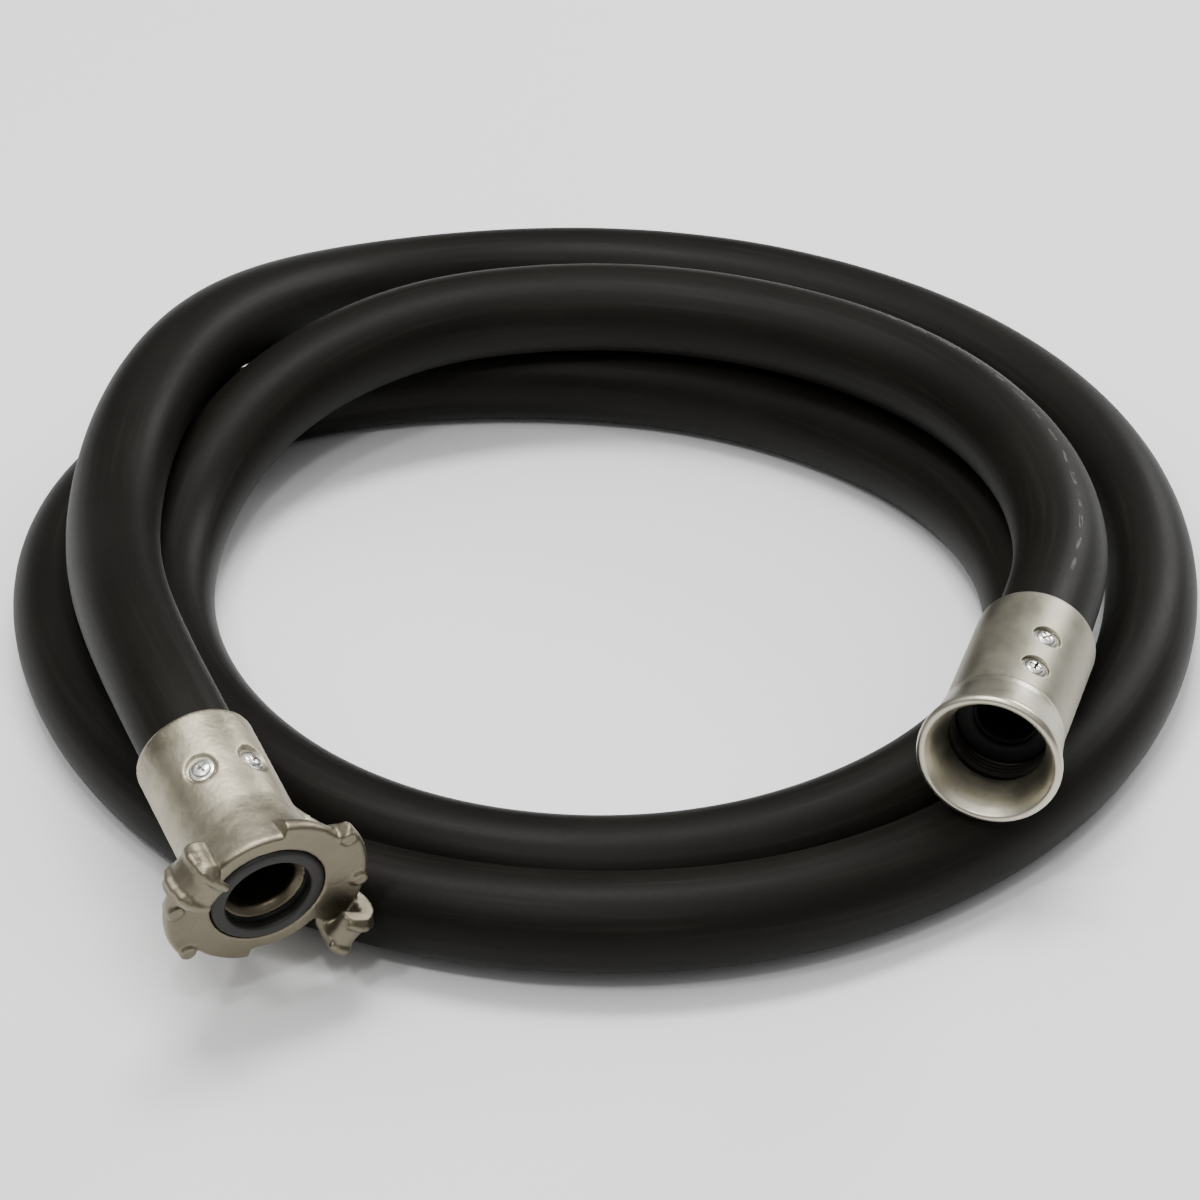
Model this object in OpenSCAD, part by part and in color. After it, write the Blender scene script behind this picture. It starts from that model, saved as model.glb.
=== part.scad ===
// Coiled abrasive-blasting hose with a two-lug claw coupling on one end
// and a nozzle holder on the other.
// Millimetres. The coil lies on the floor: +Z is up, -Y is the side the two
// fittings point to. The origin is the middle of the coil's footprint.

/* [Hose] */
// Outside diameter of the hose
hose_od = 40; // [34:0.5:40]
// Bore of the hose
hose_bore = 25; // [16:0.5:30]
// Thickness of the rubber cover
cover_wall = 2.8; // [1.5:0.1:3.5]
// Thickness of each textile ply
ply_wall = 1.4; // [0.6:0.1:2]
// Flat sides round the hose section
hose_sides = 10; // [8:2:12]

/* [Coupling] */
// Outside diameter of the coupling shank
shank_od = 49; // [46:0.5:52]
// Length from the back rim to the sealing face
coupling_length = 79; // [76:0.5:84]
// Diameter of the round flange behind the sealing face
flange_od = 61; // [58:0.5:64]
// Diameter over the two claw lugs
lug_span = 96; // [92:1:98]
// How far the claws reach past the sealing face
claw_reach = 12; // [9:0.5:14]
// Width of the slot under each claw
claw_slot = 6; // [5:0.5:7]
// Arc of each claw, degrees
claw_arc = 22; // [18:1:26]
// Waterway diameter through the head
waterway = 28; // [24:0.5:32]

/* [Gasket] */
// Outside diameter of the gasket
gasket_od = 46.6; // [42:0.2:48]
// Opening of the gasket lip
gasket_bore = 35; // [32:0.5:36]
// How far the lip stands out of the sealing face
gasket_proud = 1.2; // [0.5:0.1:2]

/* [Nozzle holder] */
// Outside diameter of the holder body
holder_od = 50; // [47:0.5:53]
// Length of the holder
holder_length = 90; // [86:0.5:96]
// Diameter over the flared mouth
mouth_od = 58.6; // [54:0.2:60]
// Nozzle thread bore
thread_bore = 38.8; // [37:0.2:40]
// Depth of the bevelled mouth
funnel = 16.5; // [10:0.5:17]
// Thickness of the nozzle washer
washer_wall = 3.5; // [2:0.5:5]

/* [Screws] */
// Diameter of the screw heads
head_od = 10; // [8:0.5:11]
// Height of the screw heads
head_height = 2; // [1.5:0.1:2.6]
// Diameter of the screw shanks
screw_od = 5; // [4:0.5:6]
// Diameter of the recess round each head
recess_od = 13; // [12:0.5:14]

/* [Hidden] */
$fn = 72;
eps = 0.01;

// Shift that puts the middle of the coil's footprint at the origin
centre_shift = [-3, 20.2, 0];

// Skins of the hose layers, from the outside in; bonded skins lie 0.1 apart
bond = 0.1;
cover_r = hose_od / 2;
outer_ply_r = cover_r - cover_wall;
inner_ply_r = outer_ply_r - ply_wall;
tube_r = inner_ply_r - ply_wall;
bore_r = hose_bore / 2;

// Where the hose enters each fitting, and which way the fitting points
claw_rim = [-159, -201, 72] + centre_shift;
claw_yaw = 25;
claw_pitch = 10;
hold_rim = [178, -119, 65] + centre_shift;
hold_yaw = -17;
hold_pitch = -3.5;
// Depth of hose inside each fitting
claw_depth = 50;
hold_depth = 56;
// Clearance round the hose in both sockets
socket_r = cover_r + 0.3;

// Lay of the coil: [radius, height] every 15 degrees, clockwise from above
lay_first = 60;
lay_step = 15;
lay = [
    [224, 73], [213, 63], [209, 58], [211, 61], [215, 63], [224, 52], [237, 34], [245, 23],
    [246, 20], [244, 20], [243, 20], [244, 20], [244, 20], [243, 20], [242, 20], [242, 20],
    [243, 20], [245, 20], [248, 22], [252, 25], [252, 26], [250, 25], [247, 22], [243, 20],
    [240, 20], [238, 20], [237, 20], [230, 20], [214, 20], [192, 20], [171, 20], [156, 20],
    [148, 20], [146, 20], [147, 20], [152, 20], [161, 20], [172, 20], [183, 20], [193, 20],
    [199, 20], [203, 20], [206, 20], [209, 20], [210, 20], [209, 20], [206, 20], [201, 20],
    [196, 20], [192, 20], [188, 21], [184, 30], [176, 45], [164, 55], [153, 61], [147, 61],
    [145, 61], [146, 61], [150, 61], [158, 61], [169, 61], [181, 61], [193, 61], [203, 61]
];

function aim(yaw, pitch) =
    [sin(yaw) * cos(pitch), -cos(yaw) * cos(pitch), -sin(pitch)];
function unit(v) = v / norm(v);

claw_aim = aim(claw_yaw, claw_pitch);
hold_aim = aim(hold_yaw, hold_pitch);

// Guide points of the hose: straight in each fitting, the coil between them
guide = concat(
    [claw_rim + claw_aim * claw_depth,
     claw_rim + claw_aim * claw_depth / 2,
     claw_rim,
     claw_rim - claw_aim * 30],
    [for (i = [0 : len(lay) - 1])
        let (a = lay_first + lay_step * i)
        centre_shift + [-lay[i][0] * sin(a), -lay[i][0] * cos(a), lay[i][1]]],
    [hold_rim - hold_aim * 30,
     hold_rim,
     hold_rim + hold_aim * hold_depth / 2,
     hold_rim + hold_aim * hold_depth]
);
last = len(guide) - 1;

// Centre line: the smooth curve the guide points pull into shape
function before(i) = i == 0 ? 2 * guide[0] - guide[1] : guide[i - 1];
function after(i) = i == last ? 2 * guide[last] - guide[last - 1] : guide[i + 1];
function centre(i) = (before(i) + 4 * guide[i] + after(i)) / 6;
function along(i) = unit(after(i) - before(i));
function sideways(i) = unit(cross(along(i), [0, 0, 1]));
function upward(i) = cross(sideways(i), along(i));
function ring(i, r) =
    [for (k = [0 : hose_sides - 1])
        let (a = 360 * k / hose_sides - 90)
        centre(i) + r * (cos(a) * sideways(i) + sin(a) * upward(i))];

// One layer of the hose: a tube swept along the centre line
module layer(r_out, r_in) {
    n = hose_sides;
    m = last + 1;
    pts = concat(
        [for (i = [0 : last]) for (p = ring(i, r_out)) p],
        [for (i = [0 : last]) for (p = ring(i, r_in)) p]);
    outer = [for (i = [0 : last - 1]) for (k = [0 : n - 1])
        let (a = i * n + k, b = i * n + (k + 1) % n)
        each [[a, a + n, b + n], [a, b + n, b]]];
    inner = [for (f = outer) [f[0] + m * n, f[2] + m * n, f[1] + m * n]];
    start = [for (k = [0 : n - 1])
        let (a = k, b = (k + 1) % n)
        each [[a, b, b + m * n], [a, b + m * n, a + m * n]]];
    end = [for (k = [0 : n - 1])
        let (a = last * n + k, b = last * n + (k + 1) % n)
        each [[a, b + m * n, b], [a, a + m * n, b + m * n]]];
    polyhedron(pts, concat(outer, inner, start, end), convexity = 12);
}

// Local frame of a fitting: +Z out of the hose, -X up, +Y to the right as
// seen by someone facing its mouth
module seat(rim, yaw, pitch)
    translate(rim) rotate([0, 90 + pitch, yaw - 90]) children();
module claw_seat() seat(claw_rim, claw_yaw, claw_pitch) children();
module hold_seat() seat(hold_rim, hold_yaw, hold_pitch) children();

// Screws: [roll round the fitting, distance from the back rim]
claw_screws = [[200, 28], [145, 28], [20, 28], [325, 28]];
hold_screws = [[158, 30], [158, 52], [338, 30], [338, 52]];
claw_seat_r = shank_od / 2 - head_height;
hold_seat_r = holder_od / 2 - head_height;
screw_tip_r = outer_ply_r + 0.4;

// A screw pointing inwards at one of the places above
module at_screw(place)
    rotate([0, 0, place[0]]) translate([0, 0, place[1]]) rotate([0, 90, 0]) children();

module screw_hole(place, seat_r) {
    at_screw(place) cylinder(h = 40, d = screw_od + 0.4, $fn = 32);
    at_screw(place) translate([0, 0, seat_r]) cylinder(h = 10, d = recess_od, $fn = 48);
}

module screw(place, seat_r)
    at_screw(place) difference() {
        union() {
            translate([0, 0, screw_tip_r])
                cylinder(h = seat_r - screw_tip_r + eps, d = screw_od, $fn = 32);
            translate([0, 0, seat_r]) cylinder(h = head_height * 0.6, d = head_od, $fn = 48);
            translate([0, 0, seat_r + head_height * 0.6 - eps])
                cylinder(h = head_height * 0.4, d1 = head_od, d2 = head_od - 2.4, $fn = 48);
        }
        // Driver slot
        translate([-head_od / 2, -0.7, seat_r + head_height - 1.1])
            cube([head_od, 1.4, 2]);
    }

// Claw coupling, cast in one piece
neck_z = 56;
flange_z = coupling_length - 11;
ear_z = coupling_length - 6;
lug_r = lug_span / 2;
recess_r = gasket_od / 2 + 0.1;
recess_z = coupling_length - 8;

// One lug: the claw with its slot, and beside it the flat ear its mate slides onto
module lug() {
    claw_end = 64;
    claw_start = claw_end - claw_arc;
    // Claw: outer wall and inward lip
    rotate([0, 0, claw_start]) rotate_extrude(angle = claw_arc)
        polygon([[28, flange_z + 4], [lug_r - 8, flange_z + 2], [lug_r - 4, flange_z + 4],
                 [lug_r - 1, flange_z + 8], [lug_r, flange_z + 12],
                 [lug_r - 0.6, coupling_length + claw_reach - 7],
                 [lug_r - 2.6, coupling_length + claw_reach - 3.5],
                 [lug_r - 6, coupling_length + claw_reach - 0.8],
                 [lug_r - 9, coupling_length + claw_reach],
                 [34, coupling_length + claw_reach], [31, coupling_length + claw_reach - 2],
                 [31, coupling_length + claw_slot], [lug_r - 8, coupling_length + claw_slot],
                 [lug_r - 8, coupling_length - eps], [28, coupling_length - eps]]);
    // Ear: thin plate behind the sealing face
    rotate([0, 0, claw_end - 2]) rotate_extrude(angle = 64)
        polygon([[27, flange_z - 1], [33, flange_z + 1], [39, ear_z], [41, ear_z + 0.5],
                 [41.5, coupling_length - 1.5], [40.5, coupling_length - eps],
                 [27, coupling_length - eps]]);
    // Low shoulder that carries the ear on round the flange
    rotate([0, 0, 124]) rotate_extrude(angle = 44)
        polygon([[27, flange_z - 1], [31, flange_z + 1], [35, ear_z + 0.5], [35.5, ear_z + 2],
                 [35.5, coupling_length - 1.5], [34.5, coupling_length - eps],
                 [27, coupling_length - eps]]);
    // Rounded end of the claw
    rotate([0, 0, claw_start]) translate([lug_r - 6.5, 0, flange_z + 5])
        cylinder(h = claw_reach + 2, r = 5.5, $fn = 40);
    rotate([0, 0, claw_start]) translate([lug_r - 6.5, 0, flange_z + claw_reach + 7 - eps])
        cylinder(h = 3, r1 = 5.5, r2 = 3.4, $fn = 40);
    // Two stop bumps on the ear's edge
    for (a = [82, 121])
        rotate([0, 0, a]) translate([38, 0, ear_z])
            cylinder(h = 7.5, r = 3.4, $fn = 32);
    // Cast web from the ear back to the shank
    rotate([0, 0, 102]) rotate([90, 0, 0]) translate([0, 0, -4])
        linear_extrude(height = 8)
            polygon([[22, neck_z - 12], [shank_od / 2 - 0.5, neck_z - 10],
                     [33, flange_z - 3], [38, ear_z - 1], [38, ear_z + 1], [24, ear_z + 1]]);
}

module coupling_shape() {
    difference() {
        union() {
            rotate_extrude()
                polygon([[0, 0.6], [shank_od / 2 - 1.2, 0], [shank_od / 2, 1.2],
                         [shank_od / 2, neck_z - 8], [shank_od / 2 + 1, neck_z],
                         [shank_od / 2 + 2.8, neck_z + 8], [flange_od / 2 - 1.2, neck_z + 16],
                         [flange_od / 2, coupling_length - 2.6],
                         [flange_od / 2 - 0.2, coupling_length - 1],
                         [flange_od / 2 - 1.2, coupling_length], [0, coupling_length]]);
            lug();
            rotate([0, 0, 180]) lug();
        }
        // Hose socket with a lead-in
        translate([0, 0, -1]) cylinder(h = claw_depth + 1.2, r = socket_r);
        translate([0, 0, -1]) cylinder(h = 2.4, r1 = socket_r + 2.2, r2 = socket_r - 0.2);
        // Waterway and gasket recess
        cylinder(h = coupling_length, d = waterway);
        translate([0, 0, recess_z]) cylinder(h = 20, r = recess_r);
        for (s = claw_screws) screw_hole(s, claw_seat_r);
    }
}

// Gasket: a ring pressed into the recess, hollow behind its sealing lip
module gasket_shape()
    rotate_extrude()
        polygon([[gasket_bore / 2, recess_z], [gasket_od / 2, recess_z],
                 [gasket_od / 2, coupling_length - 0.5],
                 [gasket_od / 2 - 1.2, coupling_length + gasket_proud * 0.6],
                 [gasket_od / 2 - 3, coupling_length + gasket_proud],
                 [gasket_bore / 2 + 0.8, coupling_length + gasket_proud],
                 [gasket_bore / 2, coupling_length + gasket_proud - 0.8],
                 [gasket_bore / 2, coupling_length - 2.6],
                 [gasket_bore / 2 + 1.4, coupling_length - 3.8],
                 [gasket_bore / 2 + 1.4, recess_z + 2.2],
                 [gasket_bore / 2, recess_z + 1.2]]);

// Nozzle holder, turned from one piece
module holder_shape() {
    r = holder_od / 2;
    rm = mouth_od / 2;
    difference() {
        rotate_extrude()
            polygon([[0, 0], [r - 2, 0], [r - 0.6, 0.6], [r, 2], [r, holder_length - 24],
                     [r + 0.6, holder_length - 23], [r + 0.8, holder_length - 20],
                     [rm - 0.9, holder_length - 5], [rm, holder_length - 3.4],
                     [rm, holder_length - 1.6], [rm - 0.4, holder_length - 0.5],
                     [rm - 1.4, holder_length], [0, holder_length]]);
        // Hose socket with a lead-in
        translate([0, 0, -1]) cylinder(h = hold_depth + 1.2, r = socket_r);
        translate([0, 0, -1]) cylinder(h = 2.4, r1 = socket_r + 2.2, r2 = socket_r - 0.2);
        // Pocket for the washer, nozzle thread and its funnel mouth
        translate([0, 0, hold_depth]) cylinder(h = washer_wall + 1, d = thread_bore + 1.4);
        translate([0, 0, hold_depth]) cylinder(h = 60, d = thread_bore);
        translate([0, 0, holder_length - funnel])
            cylinder(h = funnel + eps, d1 = thread_bore, d2 = mouth_od - 7.6);
        translate([0, 0, holder_length - 2.2])
            cylinder(h = 2.2 + eps, d1 = mouth_od - 9, d2 = mouth_od - 5.4);
        for (s = hold_screws) screw_hole(s, hold_seat_r);
    }
}

module washer_shape()
    translate([0, 0, hold_depth + 0.2]) rotate_extrude()
        polygon([[bore_r + 0.5, 0], [thread_bore / 2 + 0.5, 0],
                 [thread_bore / 2 + 0.5, washer_wall], [bore_r + 1.5, washer_wall],
                 [bore_r + 0.5, washer_wall - 1]]);

module hose_cover() color([0.15, 0.14, 0.13]) layer(cover_r, outer_ply_r);
module hose_outer_ply() color([0.55, 0.52, 0.45]) layer(outer_ply_r - bond, inner_ply_r);
module hose_inner_ply() color([0.62, 0.58, 0.50]) layer(inner_ply_r - bond, tube_r);
module hose_tube() color([0.08, 0.08, 0.08]) layer(tube_r - bond, bore_r);
module coupling_body() color([0.72, 0.70, 0.64]) claw_seat() coupling_shape();
module coupling_gasket() color([0.16, 0.16, 0.15]) claw_seat() gasket_shape();
module coupling_screw(i) color([0.80, 0.80, 0.78]) claw_seat() screw(claw_screws[i], claw_seat_r);
module nozzle_holder() color([0.72, 0.70, 0.64]) hold_seat() holder_shape();
module nozzle_washer() color([0.12, 0.12, 0.12]) hold_seat() washer_shape();
module holder_screw(i) color([0.80, 0.80, 0.78]) hold_seat() screw(hold_screws[i], hold_seat_r);

hose_cover();
hose_outer_ply();
hose_inner_ply();
hose_tube();
coupling_body();
coupling_gasket();
coupling_screw(0);  // coupling_screw_1
coupling_screw(1);  // coupling_screw_2
coupling_screw(2);  // coupling_screw_3
coupling_screw(3);  // coupling_screw_4
nozzle_holder();
nozzle_washer();
holder_screw(0);  // holder_screw_1
holder_screw(1);  // holder_screw_2
holder_screw(2);  // holder_screw_3
holder_screw(3);  // holder_screw_4
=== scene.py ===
import math
import bpy
import bmesh
from mathutils import Matrix, Vector, noise


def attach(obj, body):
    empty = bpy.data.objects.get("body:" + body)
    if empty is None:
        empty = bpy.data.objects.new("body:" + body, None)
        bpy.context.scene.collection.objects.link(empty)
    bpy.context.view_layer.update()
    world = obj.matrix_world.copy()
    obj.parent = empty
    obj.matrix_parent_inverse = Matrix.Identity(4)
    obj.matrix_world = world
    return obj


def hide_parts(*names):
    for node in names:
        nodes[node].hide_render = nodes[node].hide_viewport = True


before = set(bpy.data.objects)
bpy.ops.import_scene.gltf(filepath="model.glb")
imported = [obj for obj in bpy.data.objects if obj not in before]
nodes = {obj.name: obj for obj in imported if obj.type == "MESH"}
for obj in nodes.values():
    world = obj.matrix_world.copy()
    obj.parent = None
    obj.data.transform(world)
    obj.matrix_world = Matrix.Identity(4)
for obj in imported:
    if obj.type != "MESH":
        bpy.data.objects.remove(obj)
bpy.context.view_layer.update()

MM = 0.001
coll = bpy.context.scene.collection
SHIFT = Vector((-3, 20.2, 0)) * MM

# ---------------------------------------------------------------- camera
cam_data = bpy.data.cameras.new("camera")
cam = bpy.data.objects.new("camera", cam_data)
coll.objects.link(cam)
LENS, SENSOR = 128.7, 36
EYE, TARGET = Vector((0, -1.5247, 1.1074)), Vector((0, -0.028, 0.020))
cam_data.lens = LENS
cam_data.sensor_width = SENSOR
cam_data.clip_start = 0.05
cam_data.clip_end = 50
eye, target = EYE + SHIFT, TARGET + SHIFT
cam.location = eye
cam.rotation_euler = (target - eye).to_track_quat("-Z", "Y").to_euler()
bpy.context.scene.camera = cam

# ---------------------------------------------------------------- hose route
HOSE_R, PLY_R, PLY2_R, TUBE_R, BORE_R = (v * MM for v in (20.0, 17.2, 15.8, 14.4, 12.5))
CLAW = dict(rim=Vector((-159, -201, 72)) * MM + SHIFT, yaw=25.0, pitch=10.0, depth=50 * MM)
HOLD = dict(rim=Vector((178, -119, 65)) * MM + SHIFT, yaw=-17.0, pitch=-3.5, depth=56 * MM)


def aim(yaw, pitch):
    y, p = math.radians(yaw), math.radians(pitch)
    return Vector((math.sin(y) * math.cos(p), -math.cos(y) * math.cos(p), -math.sin(p)))


def seat(f):
    """Frame of a fitting: +Z out of the hose, -X up, +Y to the right, in mm."""
    turn = (Matrix.Rotation(math.radians(f["yaw"] - 90), 4, "Z")
            @ Matrix.Rotation(math.radians(90 + f["pitch"]), 4, "Y"))
    return Matrix.Translation(f["rim"]) @ turn @ Matrix.Scale(MM, 4)


LAY = [
    (224, 73), (213, 63), (209, 58), (211, 61), (215, 63), (224, 52), (237, 34), (245, 23),
    (246, 20), (244, 20), (243, 20), (244, 20), (244, 20), (243, 20), (242, 20), (242, 20),
    (243, 20), (245, 20), (248, 22), (252, 25), (252, 26), (250, 25), (247, 22), (243, 20),
    (240, 20), (238, 20), (237, 20), (230, 20), (214, 20), (192, 20), (171, 20), (156, 20),
    (148, 20), (146, 20), (147, 20), (152, 20), (161, 20), (172, 20), (183, 20), (193, 20),
    (199, 20), (203, 20), (206, 20), (209, 20), (210, 20), (209, 20), (206, 20), (201, 20),
    (196, 20), (192, 20), (188, 21), (184, 30), (176, 45), (164, 55), (153, 61), (147, 61),
    (145, 61), (146, 61), (150, 61), (158, 61), (169, 61), (181, 61), (193, 61), (203, 61)]

claw_aim, hold_aim = aim(CLAW["yaw"], CLAW["pitch"]), aim(HOLD["yaw"], HOLD["pitch"])
guide = [CLAW["rim"] + claw_aim * CLAW["depth"], CLAW["rim"] + claw_aim * CLAW["depth"] / 2,
         CLAW["rim"], CLAW["rim"] - claw_aim * 30 * MM]
for i, (r, z) in enumerate(LAY):
    a = math.radians(60 + 15 * i)
    guide.append(Vector((-r * math.sin(a), -r * math.cos(a), z)) * MM + SHIFT)
guide += [HOLD["rim"] - hold_aim * 30 * MM, HOLD["rim"],
          HOLD["rim"] + hold_aim * HOLD["depth"] / 2, HOLD["rim"] + hold_aim * HOLD["depth"]]
padded = [2 * guide[0] - guide[1]] + guide + [2 * guide[-1] - guide[-2]]

STEPS = 12
line = []
for i in range(len(guide) - 1):
    a, b, c, d = padded[i:i + 4]
    for k in range(STEPS):
        t = k / STEPS
        line.append(((1 - t) ** 3 * a + (3 * t ** 3 - 6 * t * t + 4) * b
                     + (-3 * t ** 3 + 3 * t * t + 3 * t + 1) * c + t ** 3 * d) / 6)
line.append((padded[-3] + 4 * padded[-2] + padded[-1]) / 6)
run = [0.0]
for p, q in zip(line, line[1:]):
    run.append(run[-1] + (q - p).length)


# ---------------------------------------------------------------- materials
def node_material(name, base, rough, metallic=0.0, spec=0.5):
    m = bpy.data.materials.new(name)
    m.use_nodes = True
    b = m.node_tree.nodes["Principled BSDF"]
    b.inputs["Base Color"].default_value = (*base, 1)
    b.inputs["Roughness"].default_value = rough
    b.inputs["Metallic"].default_value = metallic
    b.inputs["Specular IOR Level"].default_value = spec
    return m, m.node_tree, b


def add(tree, kind, inputs=None, **attrs):
    n = tree.nodes.new(kind)
    for k, v in attrs.items():
        setattr(n, k, v)
    for k, v in (inputs or {}).items():
        n.inputs[k].default_value = v
    return n


def noise_tex(tree, coord, scale, detail=4.0, rough=0.55, squash=None):
    out = coord
    if squash:
        mp = add(tree, "ShaderNodeMapping")
        mp.inputs["Scale"].default_value = squash
        tree.links.new(out, mp.inputs["Vector"])
        out = mp.outputs["Vector"]
    n = add(tree, "ShaderNodeTexNoise", {"Scale": scale, "Detail": detail, "Roughness": rough})
    tree.links.new(out, n.inputs["Vector"])
    return n.outputs["Fac"]


def ramp(tree, fac, stops):
    r = add(tree, "ShaderNodeValToRGB")
    e = r.color_ramp.elements
    while len(e) < len(stops):
        e.new(0.5)
    for s, (pos, col) in zip(e, stops):
        s.position = pos
        s.color = (*col, 1) if len(col) == 3 else col
    tree.links.new(fac, r.inputs["Fac"])
    return r.outputs["Color"]


def spread(tree, fac, low, high, f0=0.3, f1=0.7):
    n = add(tree, "ShaderNodeMapRange",
            {"From Min": f0, "From Max": f1, "To Min": low, "To Max": high})
    tree.links.new(fac, n.inputs["Value"])
    return n.outputs["Result"]


def math_node(tree, op, a, b=None):
    n = add(tree, "ShaderNodeMath", operation=op)
    for i, v in enumerate((a, b)):
        if v is None:
            continue
        if isinstance(v, (int, float)):
            n.inputs[i].default_value = v
        else:
            tree.links.new(v, n.inputs[i])
    return n.outputs[0]


def bump(tree, height, strength, distance, normal=None):
    n = add(tree, "ShaderNodeBump", {"Strength": strength, "Distance": distance})
    tree.links.new(height, n.inputs["Height"])
    if normal is not None:
        tree.links.new(normal, n.inputs["Normal"])
    return n.outputs["Normal"]


def mix_rgb(tree, fac, a, b, blend="MIX"):
    n = add(tree, "ShaderNodeMix", data_type="RGBA", blend_type=blend)
    for sock, v in ((n.inputs[0], fac), (n.inputs[6], a), (n.inputs[7], b)):
        if isinstance(v, (int, float)):
            sock.default_value = v
        elif isinstance(v, tuple):
            sock.default_value = (*v, 1)
        else:
            tree.links.new(v, sock)
    return n.outputs[2]


def rubber_cover():
    """Semi-matt black cover: scuffs, dusty bloom, fine cloth imprint, faint lay line."""
    m, t, b = node_material("cover_rubber", (0.02, 0.019, 0.016), 0.4)
    co = add(t, "ShaderNodeTexCoord")
    obj, uv = co.outputs["Object"], co.outputs["UV"]
    big = noise_tex(t, obj, 9, 5, 0.6)
    col = ramp(t, big, [(0.30, (0.0036, 0.0032, 0.0024)), (0.72, (0.0070, 0.0064, 0.0049))])
    streak = noise_tex(t, uv, 1.0, 6, 0.6, (9, 260, 1))
    dust = ramp(t, streak, [(0.52, (0, 0, 0)), (0.86, (1, 1, 1))])
    col = mix_rgb(t, math_node(t, "MULTIPLY", dust, 0.35), col, (0.030, 0.028, 0.023))
    # Lay line: short pale dashes near the top of the last stretch before the holder
    sep = add(t, "ShaderNodeSeparateXYZ")
    t.links.new(uv, sep.inputs[0])
    u, v = sep.outputs["X"], sep.outputs["Y"]
    cell = math_node(t, "FRACT", math_node(t, "MULTIPLY", u, 62.0))
    on = math_node(t, "LESS_THAN", cell, 0.55)
    away = math_node(t, "ABSOLUTE", math_node(t, "SUBTRACT", v, LAY_LINE_V))
    near = math_node(t, "LESS_THAN", away, LAY_LINE_WIDTH / 2)
    part = math_node(t, "MULTIPLY", math_node(t, "GREATER_THAN", u, run[-1] - LAY_LINE_ENDS[0]),
                     math_node(t, "LESS_THAN", u, run[-1] - LAY_LINE_ENDS[1]))
    worn = spread(t, noise_tex(t, uv, 1.0, 3, 0.5, (140, 900, 1)), 0.0, 1.0, 0.42, 0.6)
    dash = math_node(t, "MULTIPLY", on, near)
    dash = math_node(t, "MULTIPLY", dash, math_node(t, "MULTIPLY", part, worn))
    col = mix_rgb(t, math_node(t, "MULTIPLY", dash, 0.42), col, (0.16, 0.15, 0.13))
    t.links.new(col, b.inputs["Base Color"])
    fine = noise_tex(t, uv, 1.0, 4, 0.55, (420, 420, 1))
    wear = math_node(t, "ADD", math_node(t, "MULTIPLY", big, 0.7), math_node(t, "MULTIPLY", fine, 0.3))
    t.links.new(spread(t, wear, 0.40, 0.54), b.inputs["Roughness"])
    # Cloth imprint left by the curing wrap: crossed threads and the wrap's edges
    weave_u = math_node(t, "SINE", math_node(t, "MULTIPLY", u, 2 * math.pi * 760))
    weave_v = math_node(t, "SINE", math_node(t, "MULTIPLY", v, 2 * math.pi * 760))
    weave = math_node(t, "MULTIPLY", weave_u, weave_v)
    turn = math_node(t, "FRACT", math_node(t, "ADD", math_node(t, "MULTIPLY", u, 21.0),
                                          math_node(t, "MULTIPLY", v, 1 / (2 * math.pi * 0.020))))
    edge = math_node(t, "SMOOTH_MIN", turn, 0.06)
    n1 = bump(t, weave, 0.10, 0.00006)
    n2 = bump(t, edge, 0.25, 0.0012, n1)
    n3 = bump(t, fine, 0.22, 0.0002, n2)
    t.links.new(n3, b.inputs["Normal"])
    b.inputs["Specular IOR Level"].default_value = 0.09
    return m


def simple_rubber(name, low, high, rough, scale=60):
    m, t, b = node_material(name, low, rough, spec=0.35)
    obj = add(t, "ShaderNodeTexCoord").outputs["Object"]
    n = noise_tex(t, obj, scale, 5, 0.6)
    t.links.new(ramp(t, n, [(0.3, low), (0.75, high)]), b.inputs["Base Color"])
    t.links.new(spread(t, n, rough - 0.06, rough + 0.08), b.inputs["Roughness"])
    t.links.new(bump(t, noise_tex(t, obj, 900, 3, 0.6), 0.25, 0.00012), b.inputs["Normal"])
    return m


def ply_cord():
    m, t, b = node_material("ply_cord", (0.45, 0.42, 0.35), 0.85)
    obj = add(t, "ShaderNodeTexCoord").outputs["Object"]
    n = noise_tex(t, obj, 700, 4, 0.6)
    col = ramp(t, n, [(0.35, (0.30, 0.28, 0.22)), (0.65, (0.55, 0.52, 0.44))])
    t.links.new(col, b.inputs["Base Color"])
    t.links.new(bump(t, n, 0.6, 0.0004), b.inputs["Normal"])
    return m


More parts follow.
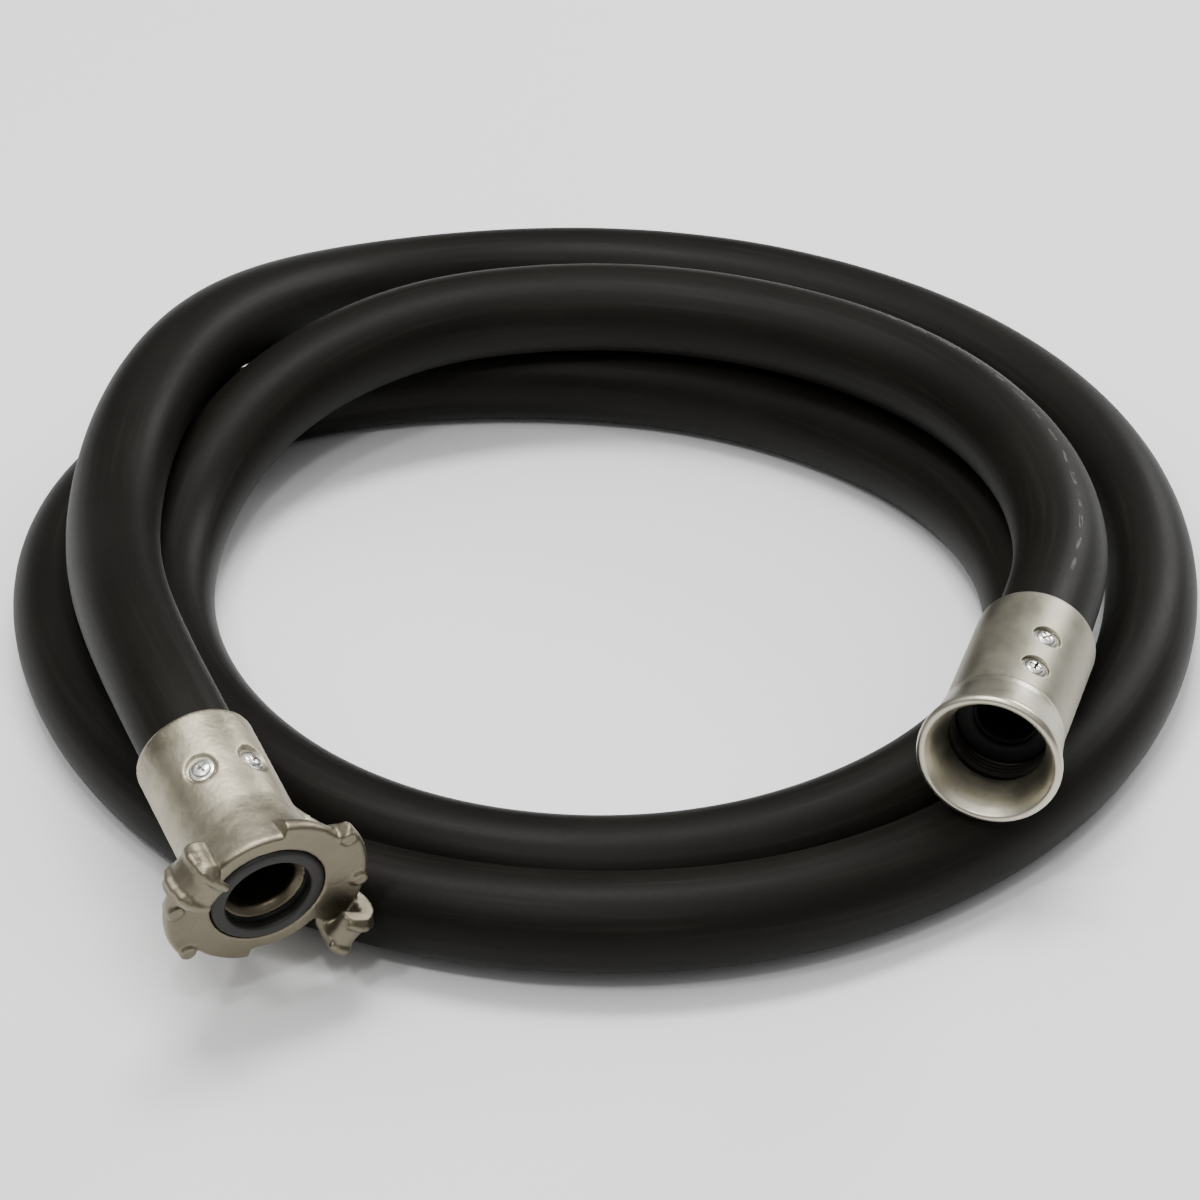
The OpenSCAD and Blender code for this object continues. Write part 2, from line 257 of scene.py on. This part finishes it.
def aluminium(name, low, high, rough, grain, turned=False, head=None):
    """Aluminium: cast skin with a fine grain, or turned with rings round the axis; with a head, painted
    shade on the coupling's face, claws and waterway.
    """
    m, t, b = node_material(name, high, rough, 1.0)
    obj = add(t, "ShaderNodeTexCoord").outputs["Object"]
    cloud = noise_tex(t, obj, 38, 6, 0.62)
    col = ramp(t, cloud, [(0.30, low), (0.66, high)])
    pits = noise_tex(t, obj, 420, 3, 0.55)
    dirt = ramp(t, pits, [(0.26, (0.62, 0.58, 0.52)), (0.42, (1, 1, 1))])
    col = mix_rgb(t, 0.35, col, dirt, "MULTIPLY")
    if head:
        # Painted shade: darker colour on the coupling's face and claws, and inside its waterway
        rim, axis = head
        off = add(t, "ShaderNodeVectorMath", operation="SUBTRACT")
        t.links.new(obj, off.inputs[0])
        off.inputs[1].default_value = rim
        dot = add(t, "ShaderNodeVectorMath", operation="DOT_PRODUCT")
        t.links.new(off.outputs[0], dot.inputs[0])
        dot.inputs[1].default_value = axis
        wave = math_node(t, "MULTIPLY", math_node(t, "SUBTRACT", cloud, 0.5), 0.006)
        along = math_node(t, "ADD", dot.outputs["Value"], wave)
        size = add(t, "ShaderNodeVectorMath", operation="LENGTH")
        t.links.new(off.outputs[0], size.inputs[0])
        out = math_node(t, "SUBTRACT", math_node(t, "POWER", size.outputs["Value"], 2),
                        math_node(t, "POWER", dot.outputs["Value"], 2))
        out = math_node(t, "ADD", math_node(t, "SQRT", out), wave)
        painted_shade = math_node(t, "MAXIMUM", spread(t, along, 0.0, 0.72, 0.0755, 0.0785),
                         spread(t, out, 0.0, 0.62, 0.030, 0.0345))
        painted_shade = math_node(t, "MAXIMUM", painted_shade, spread(t, out, 0.93, 0.0, 0.0178, 0.0190))
        col = mix_rgb(t, painted_shade, col, (0.10, 0.086, 0.058))
    t.links.new(col, b.inputs["Base Color"])
    t.links.new(spread(t, cloud, rough - 0.05, rough + 0.09), b.inputs["Roughness"])
    n1 = bump(t, noise_tex(t, obj, grain, 5, 0.65), 0.35 if not turned else 0.10, 0.00022)
    if not turned:
        n1 = bump(t, noise_tex(t, obj, 260, 3, 0.5), 0.24, 0.0005, n1)
    if turned:
        rings = noise_tex(t, add(t, "ShaderNodeTexCoord").outputs["UV"], 1.0, 2, 0.5, (0.001, 2600, 1))
        n1 = bump(t, rings, 0.10, 0.0001, n1)
    t.links.new(n1, b.inputs["Normal"])
    return m


def screw_steel():
    m, t, b = node_material("screw_steel", (0.7, 0.7, 0.68), 0.25, 1.0)
    obj = add(t, "ShaderNodeTexCoord").outputs["Object"]
    n = noise_tex(t, obj, 300, 4, 0.6)
    col = ramp(t, n, [(0.3, (0.58, 0.57, 0.53)), (0.65, (0.82, 0.81, 0.78))])
    t.links.new(col, b.inputs["Base Color"])
    t.links.new(spread(t, n, 0.20, 0.34), b.inputs["Roughness"])
    t.links.new(bump(t, noise_tex(t, obj, 1400, 3), 0.12, 0.0001), b.inputs["Normal"])
    return m


# Place of the lay line round the hose (0 underneath, 0.063 on top), its width, and where it
# starts and stops before the hose's end
LAY_LINE_V, LAY_LINE_WIDTH, LAY_LINE_ENDS = 0.0705, 0.0018, (0.30, 0.085)

MAT = {
    "cover": rubber_cover(),
    "ply": ply_cord(),
    "tube": simple_rubber("tube_rubber", (0.006, 0.006, 0.006), (0.016, 0.016, 0.015), 0.6),
    # Cast aluminium with painted shade on the coupling's face, claws and waterway
    "cast": aluminium("cast_aluminium", (0.25, 0.225, 0.165), (0.46, 0.42, 0.32), 0.42, 900,
                      head=(tuple(CLAW["rim"]), tuple(aim(CLAW["yaw"], CLAW["pitch"])))),
    "turned": aluminium("turned_aluminium", (0.24, 0.225, 0.175), (0.36, 0.34, 0.27), 0.42, 1300, True),
    # Brighter colour on the holder's mouth and funnel: partly a polished finish, partly painted light
    # on the funnel
    "mouth": aluminium("polished_mouth_painted_light", (0.40, 0.375, 0.30), (0.56, 0.53, 0.435), 0.34, 1300, True),
    # Near-black aluminium for the holder's bore and thread: painted shade inside the bore
    "thread": aluminium("painted_shade_thread_aluminium", (0.012, 0.011, 0.009), (0.035, 0.032, 0.027), 0.6, 1300),
    "gasket": simple_rubber("gasket_rubber", (0.006, 0.0056, 0.005), (0.015, 0.014, 0.012), 0.52, 90),
    "washer": simple_rubber("washer_rubber", (0.0035, 0.0035, 0.0035), (0.008, 0.008, 0.0075), 0.7, 90),
    "screw": screw_steel(),
}


def finish_piece(obj, body="root"):
    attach(obj, body)
    return obj


# ---------------------------------------------------------------- hose
def side_up(i):
    a, b = line[max(i - 1, 0)], line[min(i + 1, len(line) - 1)]
    t = (b - a).normalized()
    side = t.cross(Vector((0, 0, 1))).normalized()
    return side, side.cross(t)


def make_hose():
    bm = bmesh.new()
    uvl = bm.loops.layers.uv.new("UVMap")
    n = 48

    def rings(radius, swell=0.0):
        out = []
        for i in range(len(line)):
            side, up = side_up(i)
            row = []
            for k in range(n):
                a = 2 * math.pi * k / n - math.pi / 2
                d = side * math.cos(a) + up * math.sin(a)
                r = radius
                if swell:
                    q = line[i] + d * radius
                    r += swell * (noise.noise(q * 14) * 0.7 + noise.noise(q * 45) * 0.3)
                row.append(bm.verts.new(line[i] + d * r))
            out.append((i, row))
        return out

    def skin(rows, mat, flip):
        for (i, r0), (j, r1) in zip(rows, rows[1:]):
            for k in range(n):
                k2 = (k + 1) % n
                vs = [r0[k], r1[k], r1[k2], r0[k2]]
                us = [(i, k), (j, k), (j, k + 1), (i, k + 1)]
                if flip:
                    vs.reverse(), us.reverse()
                f = bm.faces.new(vs)
                f.material_index = mat
                f.smooth = True
                for loop, (p, q) in zip(f.loops, us):
                    loop[uvl].uv = (run[p], q / n * 2 * math.pi * HOSE_R)

    outer = rings(HOSE_R - 0.1 * MM, 0.1 * MM)
    inner = rings(BORE_R)
    skin(outer, 0, False)
    skin(inner, 2, True)
    # End faces: cover, two plies and tube
    for end in (0, -1):
        i = outer[end][0]
        side, up = side_up(i)
        rows = [outer[end][1]]
        for r in (PLY_R, PLY2_R, TUBE_R):
            rows.append([bm.verts.new(line[i] + (side * math.cos(a) + up * math.sin(a)) * r)
                         for a in (2 * math.pi * k / n - math.pi / 2 for k in range(n))])
        rows.append(inner[end][1])
        for j in range(4):
            for k in range(n):
                k2 = (k + 1) % n
                vs = [rows[j][k], rows[j][k2], rows[j + 1][k2], rows[j + 1][k]]
                if end == -1:
                    vs.reverse()
                f = bm.faces.new(vs)
                f.material_index = (0, 1, 1, 2)[j]
                for loop in f.loops:
                    loop[uvl].uv = (run[i], 0)
    bmesh.ops.recalc_face_normals(bm, faces=bm.faces)
    me = bpy.data.meshes.new("hose")
    bm.to_mesh(me)
    bm.free()
    for k in ("cover", "ply", "tube"):
        me.materials.append(MAT[k])
    o = bpy.data.objects.new("hose", me)
    coll.objects.link(o)
    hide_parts("hose_cover", "hose_outer_ply", "hose_inner_ply", "hose_tube")
    return finish_piece(o)


hose = make_hose()


# ---------------------------------------------------------------- shape helpers
def new_object(name, bm, place, mats):
    """Mesh drawn in a fitting's own millimetres, placed in the row frame."""
    bmesh.ops.recalc_face_normals(bm, faces=bm.faces)
    bm.transform(place)
    me = bpy.data.meshes.new(name)
    bm.to_mesh(me)
    bm.free()
    for k in mats:
        me.materials.append(MAT[k])
    for p in me.polygons:
        p.use_smooth = True
    o = bpy.data.objects.new(name, me)
    coll.objects.link(o)
    return o


def lathe(profile, n=128, closed=True, bm=None):
    """Turns (radius, height) points round +Z."""
    own = bm or bmesh.new()
    uvl = own.loops.layers.uv.verify()
    rows = []
    for k in range(n):
        a = 2 * math.pi * k / n
        rows.append([own.verts.new((r * math.cos(a), r * math.sin(a), z)) for r, z in profile])
    m = len(profile)
    length = [0.0]
    for (r0, z0), (r1, z1) in zip(profile, profile[1:]):
        length.append(length[-1] + math.hypot(r1 - r0, z1 - z0) * MM)
    length.append(length[-1])
    for k in range(n):
        a, b = rows[k], rows[(k + 1) % n]
        for j in range(m if closed else m - 1):
            j2 = (j + 1) % m
            f = own.faces.new((a[j], a[j2], b[j2], b[j]))
            for loop, v in zip(f.loops, (length[j], length[j + 1], length[j + 1], length[j])):
                loop[uvl].uv = (k / n, v)
    return own


def rounded(profile, radius=0.6, cuts=3):
    """Rounds each corner of a closed profile by up to the given radius."""
    out = []
    m = len(profile)
    for i in range(m):
        p0, p, p1 = (Vector(profile[j % m]) for j in (i - 1, i, i + 1))
        a, b = p0 - p, p1 - p
        r = min(radius, a.length * 0.45, b.length * 0.45)
        s, e = p + a.normalized() * r, p + b.normalized() * r
        for k in range(cuts + 1):
            t = k / cuts
            out.append(tuple(((1 - t) ** 2 * s + 2 * t * (1 - t) * p + t * t * e)))
    return out


def polar(r, deg, z):
    a = math.radians(deg)
    return (r * math.cos(a), r * math.sin(a), z)


def cylinder(bm, radius, z0, z1, n, place):
    lo, hi = ([bm.verts.new(polar(radius, 360 * k / n, z)) for k in range(n)] for z in (z0, z1))
    for k in range(n):
        bm.faces.new((lo[k], lo[(k + 1) % n], hi[(k + 1) % n], hi[k]))
    bm.faces.new(list(reversed(lo)))
    bm.faces.new(hi)
    bmesh.ops.transform(bm, matrix=place, verts=lo + hi)


def bead(bm, points, radii, n=12):
    """A closed round bar through the points."""
    rows = []
    for i, p in enumerate(points):
        t = (Vector(points[min(i + 1, len(points) - 1)]) - Vector(points[max(i - 1, 0)])).normalized()
        s = t.cross(Vector((0.31, 0.22, 0.92))).normalized()
        u = s.cross(t)
        turns = [2 * math.pi * k / n for k in range(n)]
        rows.append([bm.verts.new(Vector(p) + (s * math.cos(a) + u * math.sin(a)) * radii[i])
                     for a in turns])
    for r0, r1 in zip(rows, rows[1:]):
        for k in range(n):
            bm.faces.new((r0[k], r0[(k + 1) % n], r1[(k + 1) % n], r1[k]))
    bm.faces.new(list(reversed(rows[0])))
    bm.faces.new(rows[-1])


def at_screw(roll, z):
    return (Matrix.Rotation(math.radians(roll), 4, "Z") @ Matrix.Translation((0, 0, z))
            @ Matrix.Rotation(math.radians(90), 4, "Y"))


def apply_modifiers(o):
    dg = bpy.context.evaluated_depsgraph_get()
    me = bpy.data.meshes.new_from_object(o.evaluated_get(dg))
    o.modifiers.clear()
    o.data = me
    return o


def cut(o, bm):
    """Takes the closed shapes in bm (row frame, metres) out of o."""
    bmesh.ops.recalc_face_normals(bm, faces=bm.faces)
    me = bpy.data.meshes.new("cutter")
    bm.to_mesh(me)
    bm.free()
    c = bpy.data.objects.new("cutter", me)
    coll.objects.link(c)
    mod = o.modifiers.new("cut", "BOOLEAN")
    mod.operation = "DIFFERENCE"
    mod.solver = "EXACT"
    mod.use_self = True
    mod.object = c
    apply_modifiers(o)
    bpy.data.objects.remove(c)
    bpy.data.meshes.remove(me)
    return o


def roughen(me, big, small):
    """Moves the skin in and out a little, as sand casting leaves it."""
    places = [v.co.copy() for v in me.vertices]
    outward = [Vector(n.vector) for n in me.vertex_normals]
    moved = []
    for q, n in zip(places, outward):
        w = noise.noise(q * 160) * big + noise.noise(q * 520) * small
        moved.extend(q + n * w)
    me.vertices.foreach_set("co", moved)
    me.update()


def smooth_by_angle(o, degrees=35):
    me = o.data
    me.update()
    bm = bmesh.new()
    bm.from_mesh(me)
    lim = math.radians(degrees)
    for f in bm.faces:
        f.smooth = True
    for e in bm.edges:
        e.smooth = not (len(e.link_faces) == 2 and e.calc_face_angle(0) > lim)
    bm.to_mesh(me)
    bm.free()


# ---------------------------------------------------------------- claw coupling
claw_place, hold_place = seat(CLAW), seat(HOLD)
FACE = 79.0
CLAW_SCREWS = [(200, 28), (145, 28), (20, 28), (325, 28)]
HOLD_SCREWS = [(158, 30), (158, 52), (338, 30), (338, 52)]


def make_coupling():
    base = nodes["coupling_body"].data
    bm = bmesh.new()
    bm.from_mesh(base)
    bmesh.ops.remove_doubles(bm, verts=bm.verts, dist=1e-7)
    bm.transform(claw_place.inverted())
    over = [(42.0, 71), (46.2, 75.5), (47.7, 80), (47.2, 84),
            (45.2, 87.6), (41.8, 90.2), (38, 91.2), (33, 90.6)]
    for turn in (0, 180):
        # Two rounded ridges over each claw, from its heel to its tip
        for at, lean in ((43, -0.4), (57, 0.4)):
            bead(bm, [polar(r, turn + at + lean * k, z) for k, (r, z) in enumerate(over)],
                 [1.8, 2.2, 2.3, 2.3, 2.3, 2.2, 2.1, 1.7])
        # Rolled rim of the ear and of the shoulder after it
        bead(bm, [polar(39.4, turn + a, FACE - 2.8) for a in range(66, 128, 4)], [2.3] * 16)
        bead(bm, [polar(33.6, turn + a, FACE - 2.6) for a in range(126, 168, 4)], [2.1] * 11)
        # Parting line along the shank
        bead(bm, [polar(24.45, turn + 96, z) for z in range(3, 60, 4)], [0.55] * 15, 8)
    # Conical collar round the waterway, seen inside the gasket
    lathe([(13.95, 70.2), (17.45, 70.2), (17.45, 74.3), (16.8, 74.3), (14.0, 71.2)], 96, bm=bm)
    m = new_object("coupling", bm, claw_place, ("cast",))
    mod = m.modifiers.new("skin", "REMESH")
    mod.mode = "VOXEL"
    mod.voxel_size = 0.55 * MM
    mod.use_smooth_shade = True
    sm = m.modifiers.new("fillet", "SMOOTH")
    sm.factor = 0.5
    sm.iterations = 20
    apply_modifiers(m)
    roughen(m.data, 0.10 * MM, 0.05 * MM)
    for p in m.data.polygons:
        p.use_smooth = True
    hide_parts("coupling_body")
    return finish_piece(m)


def make_gasket():
    r, g = 23.2, 17.5
    prof = [(g, 71.05), (r, 71.05), (r, FACE - 0.6), (r - 1.0, FACE + 0.7), (r - 3.0, FACE + 1.15),
            (g + 1.0, FACE + 1.15), (g, FACE + 0.4), (g, FACE - 2.6), (g + 1.4, FACE - 3.8),
            (g + 1.4, 73.2), (g, 72.2)]
    bm = lathe(rounded(prof, 0.9, 3), 120)
    o = new_object("gasket", bm, claw_place, ("gasket",))
    smooth_by_angle(o, 40)
    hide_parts("coupling_gasket")
    return finish_piece(o)


def make_screw(name, place, roll, z, seat_r, turn):
    """Pan head with a cross recess, washer flange and threaded shank."""
    at = at_screw(roll, z)
    prof = [(0.01, seat_r + 0.02), (5.0, seat_r + 0.02), (5.05, seat_r + 0.5), (4.3, seat_r + 0.75),
            (4.1, seat_r + 1.2), (3.3, seat_r + 1.75), (1.8, seat_r + 2.0), (0.01, seat_r + 2.05)]
    bm = lathe(prof, 48, closed=False)
    # Shank with a coarse thread
    shank = [(0.01, 17.6)]
    zz = 17.7
    while zz < seat_r - 0.3:
        shank += [(2.0, zz), (2.5, zz + 0.35), (2.0, zz + 0.7)]
        zz += 0.9
    shank += [(2.3, seat_r + 0.02)]
    lathe(shank, 24, closed=False, bm=bm)
    bmesh.ops.remove_doubles(bm, verts=bm.verts, dist=0.02)
    bm.transform(at)
    o = new_object(name, bm, place, ("screw",))
    cb = bmesh.new()
    for k in (0, 90):
        spin = Matrix.Rotation(math.radians(turn + k), 4, "Z")
        bmesh.ops.create_cube(cb, size=1.0, matrix=place @ at @ spin
                              @ Matrix.Translation((0, 0, seat_r + 1.9))
                              @ Matrix.Diagonal((5.6, 1.1, 1.9, 1)))
    cut(o, cb)
    smooth_by_angle(o, 32)
    return o


def make_holder():
    length, r, rm, bore = 90.0, 25.0, 29.3, 19.4
    outer = [(20.4, 2.2), (22.6, 0.0), (r - 1.4, 0.0), (r, 1.6),
             *[(r, z) for z in range(4, 65, 2)], (r, length - 24.4), (r + 0.6, length - 23.4),
             (r + 0.8, length - 20), (rm - 1.0, length - 5.2), (rm, length - 3.6), (rm, length - 1.6),
             (rm - 0.5, length - 0.5), (rm - 1.6, length), (rm - 3.0, length - 0.3),
             (25.4, length - 1.5), (24.2, length - 3.4), (22.9, length - 6.2), (21.3, length - 10.4),
             (20.1, length - 14.2), (bore, length - 17.2), (20.9, length - 18.8), (20.9, 60.8),
             (20.1, 60.4), (20.1, 56.1)]
    bm = lathe(rounded(outer, 0.8, 3), 160)
    for f in bm.faces:
        c = f.calc_center_median()
        # Bore faces: near-black colour, painted shade
        if math.hypot(c.x, c.y) < 21.3 and c.z < length - 16.0:
            f.material_index = 1
        # Mouth faces: brighter colour, partly a polished finish, partly painted light
        elif c.z > length - 24.2:
            f.material_index = 2
    o = new_object("nozzle_holder", bm, hold_place, ("turned", "thread", "mouth"))
    cb = bmesh.new()
    for roll, z in HOLD_SCREWS:
        at = hold_place @ at_screw(roll, z)
        cylinder(cb, 2.7, 15, 23.4, 32, at)
        cylinder(cb, 6.2, 23.0, 40, 48, at)
    cut(o, cb)
    bev = o.modifiers.new("edge", "BEVEL")
    bev.width = 0.35 * MM
    bev.segments = 2
    bev.limit_method = "ANGLE"
    bev.angle_limit = math.radians(50)
    apply_modifiers(o)
    smooth_by_angle(o, 40)
    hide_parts("nozzle_holder")
    return finish_piece(o)


def make_thread():
    """Thread ridge wound inside the holder, behind its smooth mouth."""
    bm = bmesh.new()
    pitch, z0, turns, n = 2.2, 61.6, 3.9, 96
    rows = []
    steps = int(turns * n)
    for k in range(steps + 1):
        a = 360 * k / n
        z = z0 + pitch * k / n
        grow = min(1, k / 30, (steps - k) / 30)
        h = 0.25 + 1.35 * max(grow, 0)
        rows.append([bm.verts.new(polar(rr, a, z + dz)) for rr, dz in
                     ((21.0, -1.1), (20.9 - h, -0.3), (20.9 - h, 0.3), (21.0, 1.1))])
    for r0, r1 in zip(rows, rows[1:]):
        for j in range(4):
            bm.faces.new((r0[j], r1[j], r1[(j + 1) % 4], r0[(j + 1) % 4]))
    bm.faces.new(rows[0])
    bm.faces.new(list(reversed(rows[-1])))
    # Near-black thread colour: painted shade inside the bore
    o = new_object("nozzle_thread", bm, hold_place, ("thread",))
    smooth_by_angle(o, 30)
    return finish_piece(o)


def make_washer():
    prof = [(13.0, 56.25), (19.9, 56.25), (19.9, 59.6), (14.4, 59.7), (13.0, 58.6)]
    o = new_object("nozzle_washer", lathe(rounded(prof, 0.6, 3), 96), hold_place, ("washer",))
    smooth_by_angle(o, 40)
    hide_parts("nozzle_washer")
    return finish_piece(o)


coupling = make_coupling()
gasket = make_gasket()
for i, (roll, z) in enumerate(CLAW_SCREWS):
    s = make_screw("claw_screw_%d" % (i + 1), claw_place, roll, z, 22.5, 20 + 37 * i)
    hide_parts("coupling_screw_%d" % (i + 1))
    finish_piece(s)
holder = make_holder()
thread = make_thread()
washer = make_washer()
for i, (roll, z) in enumerate(HOLD_SCREWS):
    s = make_screw("nozzle_screw_%d" % (i + 1), hold_place, roll, z, 23.0, 55 + 29 * i)
    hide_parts("holder_screw_%d" % (i + 1))
    finish_piece(s)


# ---------------------------------------------------------------- stage and light
def make_floor():
    bm = bmesh.new()
    bmesh.ops.create_grid(bm, x_segments=2, y_segments=2, size=6)
    me = bpy.data.meshes.new("floor")
    bm.to_mesh(me)
    bm.free()
    m, t, b = node_material("floor_white", (0.86, 0.86, 0.86), 0.75, spec=0.2)
    obj = add(t, "ShaderNodeTexCoord").outputs["Object"]
    t.links.new(ramp(t, noise_tex(t, obj, 1.5), [(0.2, (0.85, 0.85, 0.85)), (0.8, (0.88, 0.88, 0.88))]),
                b.inputs["Base Color"])
    me.materials.append(m)
    o = bpy.data.objects.new("floor", me)
    coll.objects.link(o)


def softbox(name, place, aim_at, size, power):
    d = bpy.data.lights.new(name, "AREA")
    d.shape = "RECTANGLE"
    d.size, d.size_y = size
    d.energy = power
    o = bpy.data.objects.new(name, d)
    coll.objects.link(o)
    o.location = place
    o.rotation_euler = (Vector(aim_at) - Vector(place)).to_track_quat("-Z", "Y").to_euler()
    return o


make_floor()
softbox("top", (-0.1, 0.30, 2.2), (0, 0, 0), (1.3, 0.5), 44)
softbox("back_right", (1.35, 1.6, 1.0), (0.1, 0.15, 0), (0.8, 0.6), 24)
softbox("front_a", (-0.80, -1.05, 1.9), (0.15, -0.15, 0), (0.16, 0.16), 8)
softbox("front_b", (-0.10, -1.25, 1.9), (0.15, -0.15, 0), (0.16, 0.16), 8)
world = bpy.data.worlds.new("studio")
bpy.context.scene.world = world
world.use_nodes = True
wt = world.node_tree
ray = add(wt, "ShaderNodeTexCoord").outputs["Generated"]
height = add(wt, "ShaderNodeSeparateXYZ")
wt.links.new(ray, height.inputs[0])
# Dim near the horizon, bright overhead
sky = ramp(wt, height.outputs["Z"],
           [(0.0, (0.12, 0.12, 0.12)), (0.5, (0.30, 0.30, 0.30)), (0.88, (1.5, 1.5, 1.49))])
back = wt.nodes["Background"]
wt.links.new(sky, back.inputs["Color"])
back.inputs["Strength"].default_value = 1.0
